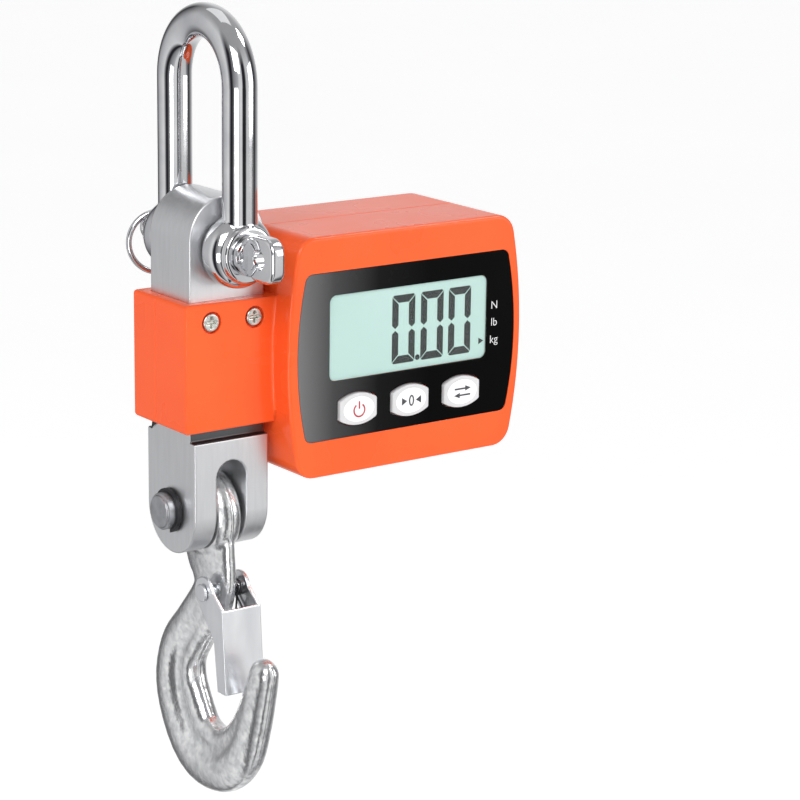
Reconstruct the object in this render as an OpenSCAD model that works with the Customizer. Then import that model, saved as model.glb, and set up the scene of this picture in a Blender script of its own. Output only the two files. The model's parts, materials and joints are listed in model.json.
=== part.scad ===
// Hanging crane scale: shackle above, load cell in a two-shell housing, safety hook below.
// Frame: origin at the crown inside the shackle bow, +Z up, the display faces -Y, the head is at +X.

/* [Load cell] */
// Width of the load-cell bar
cell_w = 25; // [22:0.5:28]
// Depth of the bar above the housing
cell_d = 21.2; // [20:0.2:22]
// Depth of the fork below the housing
fork_d = 25.8; // [25:0.2:27]
// Height of the hook pin's axis below the shackle pin's axis
pin_span = 77.3; // [76:0.1:79]
// Diameter of the hook pin
hook_pin_d = 10.8; // [10:0.1:11]

/* [Shackle] */
// Diameter of the shackle's bar
rod_d = 10; // [9:0.1:10.2]
// Gap between the shackle's two legs
jaw = 24.2; // [23.4:0.1:25]
// Height of the bow's centre above the pin's axis
bow_h = 45.8; // [40:0.1:60]
// Diameter of the shackle pin
pin_d = 9.8; // [9:0.1:10]

/* [Housing] */
// Depth of the display head
head_d = 45.7; // [44:0.1:48]
// Width of the display head at its middle
head_w = 84.4; // [82:0.1:90]
// Height of the display head
head_h = 71; // [70:0.1:76]
// Wall thickness of both shells
wall = 2.2; // [1.8:0.1:2.6]
// Outside width of the collar around the load cell
collar_w = 31.8; // [31:0.1:33]
// Height of the collar
collar_h = 37.4; // [35:0.1:39]

/* [Display] */
// Width of the black overlay at its middle
panel_w = 78.4; // [76:0.1:80]
// Height of the overlay
panel_h = 49.4; // [48:0.1:52]
// Width of the clear window
window_w = 57.1; // [55:0.1:60]
// Height of the clear window
window_h = 25.4; // [24:0.1:28]
// Width of a key
key_w = 13.2; // [12:0.1:14]
// Height of a key at its middle
key_h = 9.6; // [9:0.1:10.5]
// How far a key goes in
key_travel = 0.6; // [0.4:0.1:0.8]

/* [Hidden] */
$fn = 72;
eps = 0.01;
run = 0.05;        // radial clearance of a running fit
fit = 0.1;         // gap between pieces that are fixed together

// Heights, from the crown of the bow down
pin_z = -(bow_h + jaw / 2);
leg_y = (jaw + rod_d) / 2;
hook_z = pin_z - pin_span;

// Load cell
cell_top = pin_z + 2.7;
shoulder_z = pin_z - 55.1;
slot_w = 10;
slot_top = pin_z - 61.5;
gauge_z = pin_z - 36;
gauge_web = 7;

// Shackle
eye_r = 10.4;
eye_round = 4.4;
boss_r = 8.2;
eye_in = jaw / 2 - 0.2;
eye_out = leg_y + 5.6;
groove_r = 3.6;
ring_wire = 1.7;
ring_r = 9;
ring_turn = 18;
ring_y = eye_out + 3.6;
groove_half = 2.4;
tab_end = 37;
tab_t = 4.4;
tab_h = 13;
tab_round = 4.4;
tab_hole_r = 2.7;

// Housing
head_x = 13.3 + head_w / 2;
head_z = pin_z + 2.5 - head_h / 2;
front_y = -21.9;
back_y = front_y + head_d;
seam_y = 2.6;
head_bow = 4.2;
head_corner = 6.5;
collar_front = -13.9;
collar_back = 15;
collar_z = pin_z - 14.5 - collar_h / 2;
screw_x = 7.2;
screw_z = pin_z - 20.1;
screw_head_r = 2.6;
screw_r = 1.5;
post_x = head_w / 2 - 8.6;
post_z = head_h / 2 - 7.2;
post_r = 3;
rear_post_r = 4;
pilot_r = 1.1;

// Display
panel_x = head_x + 0.3;
panel_z = pin_z - 32.8;
panel_t = 0.8;
panel_bow = 3;
window_x = 56.15;
window_z = pin_z - 27.7;
window_t = 1;
pane_t = 0.6;
glass_y = front_y + wall + 0.5;
glass_t = 2.8;
glass_w = 64;
glass_h = 31;
frame_t = 3;
board_y = glass_y + glass_t + frame_t + fit;
board_t = 1.6;
board_w = 60.8;
board_h = 58;
board_hole_x = 27.5;
board_hole_z = 26.5;
board_post_r = 2.2;
board_screw_r = 0.85;
board_z = head_z + 0.6;
key_xs = [37.4, 56.2, 75.1];
key_z = pin_z - 49.4;
key_bow = 2;
key_out = 0.9;
key_gap = 0.3;
stem_r = 2;
flange_t = 0.8;

// Battery compartment
cell_len = 50.5;
cell_r = 7.1;
cell_pitch = 14.8;
tray_w = 58;
tray_h = 3 * cell_pitch + 1.2;
tray_y = 5.5;
tray_wall = 1.4;
tray_x = head_x + 1;
cells_y = tray_y + tray_wall + cell_r + 0.3;
cover_t = 2;
cover_lip = 2.2;

// Hook and latch, measured from the hook pin's axis
hook_eye_z = -2.5;
hook_eye_out = 13.4;
hook_eye_in = 8.2;
hook_eye_w = 8.4;
rivet_y = -7.9;
rivet_z = -24.2;
rivet_r = 1.5;
latch_w = 13.4;
latch_t = 1.2;
ear_r = 4.7;
plate_y = -17.9;
plate_top = -27.4;
plate_low = -52.5;
plate_lean = 2;
flange_d = 4.6;
spring_r = 2.5;
spring_wire_r = 0.3;
// Each station: y, z, half the thickness in the hook's plane, half the width along X, depth of the hollow
hook_stations = [
    [0, -9.5, 12.6, 3.4, 0],
    [-1.4, -15, 12, 3.4, 0],
    [-3.3, -21.5, 10.2, 3.4, 0],
    [-2.2, -28.4, 8.4, 4, 0.1],
    [6.5, -39.3, 8, 5.1, 0.34],
    [13.9, -49.8, 9.4, 5.5, 0.42],
    [14.2, -62.3, 11.9, 5.7, 0.44],
    [5.5, -75.2, 12.2, 5.7, 0.42],
    [-8.1, -77.2, 10, 5.6, 0.34],
    [-18.4, -70.5, 8.4, 5.2, 0.2],
    [-24.4, -60, 6.4, 4.7, 0.08],
    [-28, -50, 5.3, 4.3, 0],
    [-30, -44, 4.7, 3.9, 0]
];

// ---- Outlines and sweeps ----

// Points of an arc, angles in degrees
function arc(cx, cy, r, a0, a1, n) =
    [for (i = [0:n]) let (a = a0 + (a1 - a0) * i / n) [cx + r * cos(a), cy + r * sin(a)]];

// A rectangle with rounded corners whose left and right sides bow outward
function bowed(w, h, bow, r) =
    let (big = (h * h / 4 + bow * bow) / (2 * bow), far = w / 2 - big,
         a = asin((h / 2 - r) / (big - r)), cx = far + (big - r) * cos(a), cy = h / 2 - r)
    concat(arc(far, 0, big, -a, a, 16), arc(cx, cy, r, a, 90, 8), arc(-cx, cy, r, 90, 180 - a, 8),
           arc(-far, 0, big, 180 - a, 180 + a, 16), arc(-cx, -cy, r, 180 + a, 270, 8),
           arc(cx, -cy, r, 270, 360 - a, 8));

// A rectangle with round corners
function round_rect(w, h, r) =
    concat(arc(w / 2 - r, h / 2 - r, r, 0, 90, 8), arc(r - w / 2, h / 2 - r, r, 90, 180, 8),
           arc(r - w / 2, r - h / 2, r, 180, 270, 8), arc(w / 2 - r, r - h / 2, r, 270, 360, 8));

// Extrudes an outline drawn in X and Z from y0 to y1
module plate_xz(y0, y1) {
    translate([0, y1, 0]) rotate([90, 0, 0]) linear_extrude(y1 - y0) children();
}

// A cylinder along Y or X
module rod_y(r, y0, y1) {
    translate([0, y1, 0]) rotate([90, 0, 0]) cylinder(r = r, h = y1 - y0);
}
module rod_x(r, x0, x1) {
    translate([x0, 0, 0]) rotate([0, 90, 0]) cylinder(r = r, h = x1 - x0);
}

// Smooth curve through a list of stations
function spline(p0, p1, p2, p3, t) =
    0.5 * (2 * p1 + (p2 - p0) * t + (2 * p0 - 5 * p1 + 4 * p2 - p3) * t * t
           + (3 * p1 - p0 - 3 * p2 + p3) * t * t * t);
function smooth(list, steps) =
    let (n = len(list) - 1)
    concat([for (i = [0:n - 1], k = [0:steps - 1])
            spline(list[max(i - 1, 0)], list[i], list[i + 1], list[min(i + 2, n)], k / steps)],
           [list[n]]);

// Closed skin over a list of rings that all have the same number of points
module skin(rings) {
    n = len(rings[0]);
    m = len(rings);
    points = [for (ring = rings) each ring];
    sides = [for (j = [0:m - 2], i = [0:n - 1])
             [j * n + i, j * n + (i + 1) % n, (j + 1) * n + (i + 1) % n, (j + 1) * n + i]];
    start = [for (i = [n - 1:-1:0]) i];
    end = [for (i = [0:n - 1]) (m - 1) * n + i];
    polyhedron(points, concat([start], sides, [end]));
}

// Round wire along a list of points
function unit(v) = v / norm(v);
function tangent(p, i) = unit(p[min(i + 1, len(p) - 1)] - p[max(i - 1, 0)]);
module wire(p, r, up, sides) {
    skin([for (i = [0:len(p) - 1])
          let (t = tangent(p, i), u = unit(cross(t, up)), v = cross(t, u))
          [for (k = [0:sides - 1]) p[i] + r * (cos(360 * k / sides) * u + sin(360 * k / sides) * v)]]);
}

// Points of a helix about X
function helix_x(r, x0, x1, turns, a0, n) =
    [for (i = [0:n]) [x0 + (x1 - x0) * i / n, r * cos(a0 + 360 * turns * i / n),
                      r * sin(a0 + 360 * turns * i / n)]];

// ---- Shackle ----

// One eye, turned about the pin's axis, facing +Y
module shackle_eye() {
    rotate([-90, 0, 0]) rotate_extrude()
        polygon(concat([[0, eye_in], [eye_r - 2.6, eye_in]],
                       arc(eye_r - 2.6, eye_in + 2.6, 2.6, -90, 0, 6),
                       arc(eye_r - eye_round, eye_out - 6, eye_round, 0,
                           acos((boss_r - eye_r + eye_round + 0.1) / eye_round), 8),
                       [[boss_r, eye_out - 1.4], [boss_r, eye_out - 0.6],
                        [boss_r - 0.6, eye_out], [0, eye_out]]));
}

module shackle() {
    color("gainsboro") difference() {
        union() {
            translate([0, 0, pin_z + bow_h]) rotate([0, -90, 0])
                rotate([0, 0, -90]) rotate_extrude(angle = 180) translate([leg_y, 0]) circle(d = rod_d);
            for (side = [-1, 1]) {
                translate([0, side * leg_y, pin_z]) cylinder(d = rod_d, h = bow_h);
                translate([0, 0, pin_z]) mirror([0, side < 0 ? 1 : 0, 0]) shackle_eye();
            }
        }
        translate([0, 0, pin_z]) rod_y(pin_d / 2 + run, -eye_out - 1, eye_out + 1);
    }
}

// Screw pin: collar and tab in front, shank through both eyes, grooved end behind
module shackle_pin() {
    color("gainsboro") translate([0, 0, pin_z]) difference() {
        union() {
            rod_y(pin_d / 2, -eye_out - 2, ring_y - groove_half);
            rod_y(groove_r, -eye_out, ring_y + groove_half + 1);
            rod_y(pin_d / 2 - 0.6, ring_y + groove_half, ring_y + groove_half + 1.4);
            rod_y(6, -eye_out - 1.9, -eye_out - 0.2);
            translate([-tab_t / 2, -(tab_end + eye_out + 1) / 2, 0]) rotate([90, 0, 90]) linear_extrude(tab_t)
                polygon(round_rect(tab_end - eye_out - 1, tab_h, tab_round));
        }
        translate([0, -eye_out - 7.2, 0]) rod_x(tab_hole_r, -tab_t, tab_t);
    }
}

module pin_ring() {
    color("silver") translate([0, ring_y, pin_z + groove_r + 0.3 + ring_wire / 2 - ring_r])
        rotate([90, 0, -ring_turn]) rotate_extrude() translate([ring_r, 0]) circle(d = ring_wire, $fn = 24);
}

// ---- Load cell ----

// The bar with its half-round top and its fork
module cell_blank() {
    top_y = cell_d / 2;
    translate([0, 0, cell_top]) rod_y(cell_w / 2, -top_y, top_y);
    translate([-cell_w / 2, -top_y, shoulder_z]) cube([cell_w, cell_d, cell_top - shoulder_z]);
    translate([-cell_w / 2, -fork_d / 2, hook_z]) cube([cell_w, fork_d, shoulder_z - hook_z]);
    translate([0, 0, hook_z]) rod_x(fork_d / 2, -cell_w / 2, cell_w / 2);
}

module load_cell() {
    color("silver") difference() {
        cell_blank();
        translate([0, 0, pin_z]) rod_y(pin_d / 2 + run, -cell_d, cell_d);
        translate([0, 0, hook_z]) rod_x(hook_pin_d / 2 + run, -cell_w, cell_w);
        translate([0, 0, slot_top - slot_w / 2]) rod_y(slot_w / 2, -fork_d, fork_d);
        translate([-slot_w / 2, -fork_d, hook_z - fork_d])
            cube([slot_w, 2 * fork_d, slot_top - slot_w / 2 - hook_z + fork_d]);
        for (side = [-1, 1]) {
            translate([side * (gauge_web / 2 + cell_w / 2), 0, gauge_z])
                cube([cell_w, 13, 16], center = true);
            translate([side * screw_x, 0, screw_z]) rod_y(screw_r + run, -cell_d, -2.4);
        }
    }
}

// Two foil gauges on each face of the thin web
module strain_gauges() {
    color("peru") for (side = [-1, 1], level = [-3.6, 3.6])
        translate([side * (gauge_web / 2 + 0.15) - 0.15, -4, gauge_z + level - 2.4]) cube([0.3, 8, 4.8]);
}

module gauge_cable() {
    route = smooth([[gauge_web / 2 + 1.4, 0, gauge_z], [14, -1, gauge_z - 1], [22, -3, gauge_z - 3],
                    [30, -6, gauge_z - 4], [36, board_y + board_t + 1.2, gauge_z - 4]], 6);
    color("whitesmoke") wire(route, 1.1, [0, 0, 1], 10);
}

// ---- Housing ----

module head_outline(inset) {
    translate([head_x, head_z])
        polygon(bowed(head_w - 2 * inset, head_h - 2 * inset, head_bow, head_corner - inset));
}

// The outer shape of both shells together
module housing_outside() {
    plate_xz(front_y, back_y) head_outline(0);
    translate([-collar_w / 2, collar_front, collar_z - collar_h / 2])
        cube([collar_w / 2 + head_x - head_w / 4, collar_back - collar_front, collar_h]);
}

// The hollow of the head and the channel that the load cell goes through
module housing_inside() {
    plate_xz(front_y + wall, back_y - wall) head_outline(wall);
    channel_w = cell_w + 2 * fit;
    translate([-channel_w / 2, -cell_d / 2 - fit, pin_z - 60])
        cube([channel_w, cell_d + 2 * fit, 60 + cell_w]);
    translate([0, -cell_d / 2 - fit, collar_z - collar_h / 2 + wall])
        cube([head_x - head_w / 4, cell_d + 2 * fit, collar_h - 2 * wall]);
}

module four_posts() {
    for (i = [-1, 1], j = [-1, 1]) translate([head_x + i * post_x, 0, head_z + j * post_z]) children();
}

module board_holes() {
    for (i = [-1, 1], j = [-1, 1])
        translate([head_x + i * board_hole_x, 0, board_z + j * board_hole_z]) children();
}

module key_outline(grow) {
    rotate(90) polygon(bowed(key_h + 2 * grow, key_w + 2 * grow, key_bow, 0.8));
}

module front_shell() {
    color("orangered") difference() {
        union() {
            difference() {
                housing_outside();
                housing_inside();
            }
            intersection() {
                four_posts() rod_y(post_r, front_y + 1, seam_y);
                plate_xz(front_y, back_y) head_outline(0);
            }
            board_holes() rod_y(board_post_r, front_y + 1, board_y - fit);
        }
        translate([-head_w, seam_y, head_z - 200]) cube([400, 200, 400]);
        four_posts() rod_y(pilot_r, -12, seam_y + 1);
        board_holes() rod_y(board_screw_r + run, -18.2, board_y + 1);
        translate([panel_x, 0, panel_z]) plate_xz(front_y - 1, front_y + panel_t)
            polygon(bowed(panel_w + 2 * fit, panel_h + 2 * fit, panel_bow, 2.6));
        translate([window_x, 0, window_z]) plate_xz(front_y, front_y + window_t)
            polygon(round_rect(window_w + 2 * fit, window_h + 2 * fit, 2.2));
        translate([window_x, 0, window_z]) plate_xz(front_y, front_y + wall + 1)
            polygon(round_rect(window_w - 3, window_h - 3, 1.5));
        for (x = key_xs) translate([x, 0, key_z]) plate_xz(front_y, front_y + wall + 1) key_outline(key_gap);
        for (side = [-1, 1]) translate([side * screw_x, 0, screw_z]) {
            rod_y(screw_head_r + 0.6, collar_front - 1, collar_front + 1.4);
            rod_y(screw_r + 0.1, collar_front - 1, collar_front + 6);
        }
    }
}

module rear_shell() {
    color("orangered") difference() {
        union() {
            difference() {
                housing_outside();
                housing_inside();
            }
            four_posts() rod_y(rear_post_r, seam_y, back_y - 1);
            translate([tray_x, 0, head_z]) plate_xz(tray_y, back_y - 1)
                square([tray_w + 2 * tray_wall, tray_h + 2 * tray_wall], center = true);
        }
        translate([-head_w, seam_y - 400, head_z - 200]) cube([400, 400, 400]);
        four_posts() {
            rod_y(pilot_r + 0.5, seam_y - 1, back_y + 1);
            rod_y(2.9, back_y - 7, back_y + 1);
        }
        translate([tray_x, 0, head_z]) plate_xz(tray_y + tray_wall, back_y + 1)
            square([tray_w, tray_h], center = true);
        translate([tray_x, 0, head_z]) plate_xz(back_y - cover_t - fit, back_y + 1)
            polygon(round_rect(tray_w + 2 * cover_lip, tray_h + 2 * cover_lip, 3));
    }
}

// Pan-head screw along +Y with its head's top at y = 0
module screw(head_r, head_t, r, length) {
    difference() {
        union() {
            rod_y(head_r, 0, head_t);
            rod_y(r, head_t - eps, head_t + length);
        }
        for (a = [0, 90]) rotate([0, a, 0])
            translate([-head_r * 0.6, -1, -0.3]) cube([head_r * 1.2, 1.9, 0.6]);
    }
}

module collar_screws() {
    color("gainsboro") for (side = [-1, 1])
        translate([side * screw_x, collar_front + 0.1, screw_z]) screw(screw_head_r, 1.3, screw_r, 8);
}

module shell_screws() {
    color("gainsboro") four_posts() translate([0, back_y - 5.3, 0]) mirror([0, 1, 0])
        screw(2.5, 1.6, pilot_r - 0.05, 20);
}

// ---- Display and electronics ----

module overlay_panel() {
    color("black") difference() {
        translate([panel_x, 0, panel_z]) plate_xz(front_y, front_y + panel_t)
            polygon(bowed(panel_w, panel_h, panel_bow, 2.5));
        translate([window_x, 0, window_z]) plate_xz(front_y - 1, front_y + 2)
            polygon(round_rect(window_w, window_h, 2.2));
        for (x = key_xs) translate([x, 0, key_z]) plate_xz(front_y - 1, front_y + 2) key_outline(key_gap);
    }
}

module lcd_window() {
    color("azure", 0.5) translate([window_x, 0, window_z]) plate_xz(front_y + 0.05, front_y + pane_t)
        polygon(round_rect(window_w - 2 * fit, window_h - 2 * fit, 2.1));
}

// The display's front film, right behind the pane, with its edges on the shell's ledge
module lcd_face() {
    color("aquamarine") translate([window_x, 0, window_z]) plate_xz(front_y + pane_t + 0.02, front_y + window_t)
        polygon(round_rect(window_w - 2 * fit, window_h - 2 * fit, 2.1));
}

module lcd_module() {
    color("lightcyan") translate([window_x, glass_y + glass_t / 2, window_z])
        cube([glass_w, glass_t, glass_h], center = true);
}

module lcd_frame() {
    color("white") translate([window_x, glass_y + glass_t + frame_t / 2, window_z])
        cube([glass_w - 2, frame_t, glass_h - 5], center = true);
}

module zebra_strip() {
    color("dimgray") translate([window_x, glass_y + glass_t + (frame_t + fit) / 2, window_z - glass_h / 2 + 1.1])
        cube([glass_w - 6, frame_t + fit, 2], center = true);
}

module main_board() {
    color("darkgreen") difference() {
        translate([head_x, board_y + board_t / 2, board_z]) cube([board_w, board_t, board_h], center = true);
        board_holes() rod_y(board_screw_r + 0.3, board_y - 1, board_y + board_t + 1);
    }
}

module board_chips() {
    y0 = board_y + board_t;
    color("dimgray") {
        translate([50, y0, board_z + 4]) rod_y(5.5, 0, 1.5);
        translate([64, y0, board_z - 4]) cube([9, 1.8, 6]);
        translate([72, y0, board_z + 10]) cube([4, 3.5, 10]);
    }
}

module tact_switches() {
    color("dimgray") for (x = key_xs) translate([x, 0, key_z]) {
        translate([-3, board_y - 2.6, -3]) cube([6, 2.6, 6]);
        rod_y(1.7, board_y - 3.2, board_y - 2.5);
    }
}

module board_screws() {
    color("gainsboro") board_holes() translate([0, board_y + board_t + 1.3, 0]) mirror([0, 1, 0])
        screw(2, 1.3, board_screw_r, 6);
}

// A key: cap through the overlay, flange behind the wall, stem towards its switch
module key(x) {
    back = front_y + wall;
    switch_top = board_y - 3.2;
    translate([x, 0, key_z]) {
        plate_xz(front_y - key_out, back + 0.1) key_outline(0);
        plate_xz(back + 0.1, back + flange_t) key_outline(1);
        rod_y(stem_r, back + flange_t - eps, switch_top - key_travel - 0.3);
    }
}
module key_power() { color("white") key(key_xs[0]); }
module key_tare() { color("white") key(key_xs[1]); }
module key_unit() { color("white") key(key_xs[2]); }

// ---- Batteries ----

module three_rows() {
    for (row = [-1:1]) translate([tray_x, cells_y, head_z + row * cell_pitch])
        mirror([row == 0 ? 1 : 0, 0, 0]) children();
}

module battery_cells() {
    color("goldenrod") three_rows() {
        rod_x(cell_r, -cell_len / 2, cell_len / 2 - 1);
        rod_x(2.7, cell_len / 2 - 1 - eps, cell_len / 2);
    }
}

module cell_springs() {
    gap = tray_w / 2 - cell_len / 2;
    color("silver") three_rows() translate([-tray_w / 2 + 0.5, 0, 0])
        wire(helix_x(3.4, 0, gap - 1.1, 2.5, 0, 40), 0.45, [1, 0, 0], 6);
}

module cell_plates() {
    color("silver") three_rows() translate([cell_len / 2 + 0.05, -5, -5])
        cube([tray_w / 2 - cell_len / 2 - 0.1, 10, 10]);
}

module battery_cover() {
    color("orangered") difference() {
        translate([tray_x, 0, head_z]) plate_xz(back_y - cover_t, back_y)
            polygon(round_rect(tray_w + 2 * cover_lip - 0.6, tray_h + 2 * cover_lip - 0.6, 2.7));
        for (i = [-2:2]) translate([tray_x - 8, back_y - 0.5, head_z - tray_h / 2 + 6 + i * 1.6])
            cube([16, 1, 0.8]);
    }
}

// ---- Hook ----

module hook_pin() {
    color("lightgray") translate([0, 0, hook_z]) {
        rod_x(hook_pin_d / 2, -16.2, 16.2);
        rod_x(hook_pin_d / 2 - 0.7, -16.9, 16.9);
    }
}

module circlip(x) {
    color("dimgray") translate([x, 0, hook_z]) difference() {
        rod_x(6.5, -0.6, 0.6);
        rod_x(hook_pin_d / 2 + 0.02, -2, 2);
        translate([-2, -1.6, -9]) cube([4, 3.2, 9]);
    }
}
module circlip_left() { circlip(-cell_w / 2 - 1); }
module circlip_right() { circlip(cell_w / 2 + 1); }

// Section of the forging at one station, square to the run of the hook: oval with a hollow in each flat
function hook_ring(path, i) =
    let (a = path[max(i - 1, 0)], b = path[min(i + 1, len(path) - 1)], d = unit([b[0] - a[0], b[1] - a[1]]),
         c = path[i])
    [for (k = [0:27])
     let (s = cos(360 * k / 28), q = sin(360 * k / 28), dip = 1 - c[4] * exp(-pow((s + 0.32) / 0.3, 2)))
     [-c[3] * sign(q) * pow(abs(q), 0.8) * dip, c[0] - d[1] * c[2] * s, c[1] + d[0] * c[2] * s]];

module hook() {
    path = smooth(hook_stations, 5);
    last = path[len(path) - 1];
    run_out = unit([last[0] - path[len(path) - 2][0], last[1] - path[len(path) - 2][1]]);
    cap = [for (k = [1:4]) let (a = 20 * k)
           [last[0] + run_out[0] * last[2] * sin(a), last[1] + run_out[1] * last[2] * sin(a),
            last[2] * cos(a), last[3] * cos(a), 0]];
    whole = concat(path, cap);
    color("silver") translate([0, 0, hook_z]) difference() {
        union() {
            translate([0, 0, hook_eye_z]) rotate([0, 90, 0]) rotate_extrude()
                translate([(hook_eye_in + hook_eye_out) / 2, 0])
                    polygon([for (a = [0:15:345]) [(hook_eye_out - hook_eye_in) / 2 * cos(a), hook_eye_w / 2 * sin(a)]]);
            skin([for (i = [0:len(whole) - 1]) hook_ring(whole, i)]);
        }
        translate([0, rivet_y, rivet_z]) rod_x(rivet_r + run, -9, 9);
        translate([0, 0, hook_eye_z]) rod_x(hook_eye_in - 0.6, -6, 6);
    }
}

// Folded sheet latch: two ears on the rivet, a front plate and two side flanges
module latch() {
    inner = latch_w / 2 - latch_t;
    ear = [[rivet_y, rivet_z + ear_r], [plate_y, plate_top], [plate_y - plate_lean, plate_low],
           [plate_y - plate_lean + flange_d, plate_low], [plate_y + flange_d, plate_top - 10],
           [rivet_y + ear_r - 0.3, rivet_z - 1.6]];
    color("gainsboro") translate([0, 0, hook_z]) difference() {
        union() {
            for (side = [-1, 1]) translate([side * (inner + latch_t / 2) - latch_t / 2, 0, 0]) {
                rotate([90, 0, 90]) linear_extrude(latch_t) polygon(ear);
                translate([0, rivet_y, rivet_z]) rod_x(ear_r, 0, latch_t);
            }
            rotate([90, 0, 90]) translate([0, 0, -inner - eps]) linear_extrude(2 * inner + 2 * eps)
                polygon([[plate_y, plate_top], [plate_y - plate_lean, plate_low],
                         [plate_y - plate_lean + latch_t, plate_low], [plate_y + latch_t, plate_top]]);
        }
        translate([0, rivet_y, rivet_z]) rod_x(rivet_r + run, -9, 9);
    }
}

module latch_rivet() {
    end = latch_w / 2;
    color("gainsboro") translate([0, rivet_y, hook_z + rivet_z]) {
        rod_x(rivet_r, -end - 0.6, end + 0.6);
        for (side = [-1, 1]) translate([side * (end + 0.55), 0, 0]) rod_x(2.6, -0.45, 0.45);
    }
}

module latch_spring() {
    x0 = 3.75;
    x1 = latch_w / 2 - latch_t - 0.6;
    turns = 1.5;
    steps = 30;
    coil = helix_x(spring_r, x0, x1, turns, 150, steps);
    on_hook = [x0, -1, -9];
    on_plate = [x1, plate_y + latch_t - rivet_y - 0.3, -11.5];
    color("dimgray") translate([0, rivet_y, hook_z + rivet_z])
        wire(concat([on_hook], coil, [on_plate]), spring_wire_r, [1, 0, 0], 6);
}

shackle();
shackle_pin();
pin_ring();
load_cell();
strain_gauges();
gauge_cable();
front_shell();
rear_shell();
collar_screws();
shell_screws();
overlay_panel();
lcd_window();
lcd_face();
lcd_module();
lcd_frame();
zebra_strip();
main_board();
board_chips();
tact_switches();
board_screws();
key_power();
key_tare();
key_unit();
battery_cells();
cell_springs();
cell_plates();
battery_cover();
hook_pin();
circlip_left();
circlip_right();
hook();
latch();
latch_rivet();
latch_spring();
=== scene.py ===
# %% [markdown]
# # A hanging crane scale
# This scale hangs from a bow shackle. A bar of aluminium, the load cell, carries the weight,
# and an orange two-shell housing wraps round it with a display head at one side. A forged
# hook with a spring latch hangs below. The CAD model fixes every size and every joint, so
# this script only makes the surfaces finer and gives them their finishes.

# %% Load the frame
import json
import math

import bmesh
import bpy
from mathutils import Matrix, Vector

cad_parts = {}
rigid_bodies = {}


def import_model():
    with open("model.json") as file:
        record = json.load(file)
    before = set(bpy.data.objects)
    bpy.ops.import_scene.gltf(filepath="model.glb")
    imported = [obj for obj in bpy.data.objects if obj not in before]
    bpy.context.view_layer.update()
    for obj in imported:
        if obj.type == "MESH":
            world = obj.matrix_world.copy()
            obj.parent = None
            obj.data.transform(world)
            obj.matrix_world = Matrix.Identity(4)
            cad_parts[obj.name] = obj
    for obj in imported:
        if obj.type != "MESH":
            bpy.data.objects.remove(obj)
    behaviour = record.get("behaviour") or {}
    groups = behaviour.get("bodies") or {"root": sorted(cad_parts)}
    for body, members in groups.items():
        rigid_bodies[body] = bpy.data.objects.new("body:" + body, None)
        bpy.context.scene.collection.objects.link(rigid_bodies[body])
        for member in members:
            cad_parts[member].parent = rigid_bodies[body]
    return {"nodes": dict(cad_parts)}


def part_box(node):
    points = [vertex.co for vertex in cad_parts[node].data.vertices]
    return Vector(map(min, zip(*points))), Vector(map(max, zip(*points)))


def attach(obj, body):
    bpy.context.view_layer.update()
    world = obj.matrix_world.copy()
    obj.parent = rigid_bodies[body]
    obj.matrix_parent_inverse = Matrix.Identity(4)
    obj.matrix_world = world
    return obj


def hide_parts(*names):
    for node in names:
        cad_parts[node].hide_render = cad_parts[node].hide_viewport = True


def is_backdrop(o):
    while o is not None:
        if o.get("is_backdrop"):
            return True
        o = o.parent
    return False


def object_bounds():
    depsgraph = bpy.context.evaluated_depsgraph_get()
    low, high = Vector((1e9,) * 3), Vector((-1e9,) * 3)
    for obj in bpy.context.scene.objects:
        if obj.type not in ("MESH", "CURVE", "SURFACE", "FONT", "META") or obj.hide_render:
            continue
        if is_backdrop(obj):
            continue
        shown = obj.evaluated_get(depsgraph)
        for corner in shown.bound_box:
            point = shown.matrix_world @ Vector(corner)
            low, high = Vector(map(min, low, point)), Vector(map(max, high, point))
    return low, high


bpy.ops.object.select_all(action="SELECT")
bpy.ops.object.delete()
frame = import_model()
cad_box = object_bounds()
MM = 0.001

# %% [markdown]
# ## Camera
# The camera stands in front of the display, a little to the left of it and a little above,
# and is rolled by less than a degree. A long lens keeps the sides of the bar nearly
# parallel. The three axes are worked out from the angles, so that they stay square.

# %% Camera
AZIMUTH, ELEVATION, ROLL = (math.radians(a) for a in (-36.39, 14.38, 0.84))
LENS, SENSOR = 121.5, 36
CAMERA_SPOT = Vector((-403.2, -640.7, 90.1)) * MM
right = Vector((math.cos(AZIMUTH), math.sin(AZIMUTH), 0))
back = Vector((math.sin(AZIMUTH) * math.cos(ELEVATION), -math.cos(AZIMUTH) * math.cos(ELEVATION),
               math.sin(ELEVATION)))
up = back.cross(right)
right, up = (right * math.cos(ROLL) + up * math.sin(ROLL),
             up * math.cos(ROLL) - right * math.sin(ROLL))
bpy.ops.object.select_all(action="DESELECT")
bpy.ops.object.camera_add()
camera = bpy.context.object
camera.data.lens = LENS
camera.data.sensor_width = SENSOR
place = Matrix((right, up, back)).transposed().to_4x4()
place.translation = CAMERA_SPOT
camera.matrix_world = place
bpy.context.scene.camera = camera
print("camera looks along", tuple(round(v, 3) for v in -back))

# %% [markdown]
# ## Finishes
# Every finish is a Principled shader with two noises. The broad one moves the colour and the
# gloss a little, as handling and moulding do, and the fine one gives the surface its grain
# through a Bump node. Numbers that are the same all over sit on the shader's own sockets,
# where the export keeps them. The patterns use Object coordinates, which are the piece's own
# metres, so a scale of 1000 means one cell per millimetre. A noise mostly lies between 0.3
# and 0.7, so that part of it is what gets stretched over a range.

# %% Helpers for finishes
NOISE_LOW, NOISE_HIGH = 0.3, 0.7
COAT_ROUGHNESS = 0.08


def srgb(r, g, b):
    return tuple(c / 255 / 12.92 if c < 11 else ((c / 255 + 0.055) / 1.055) ** 2.4
                 for c in (r, g, b)) + (1,)


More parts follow.
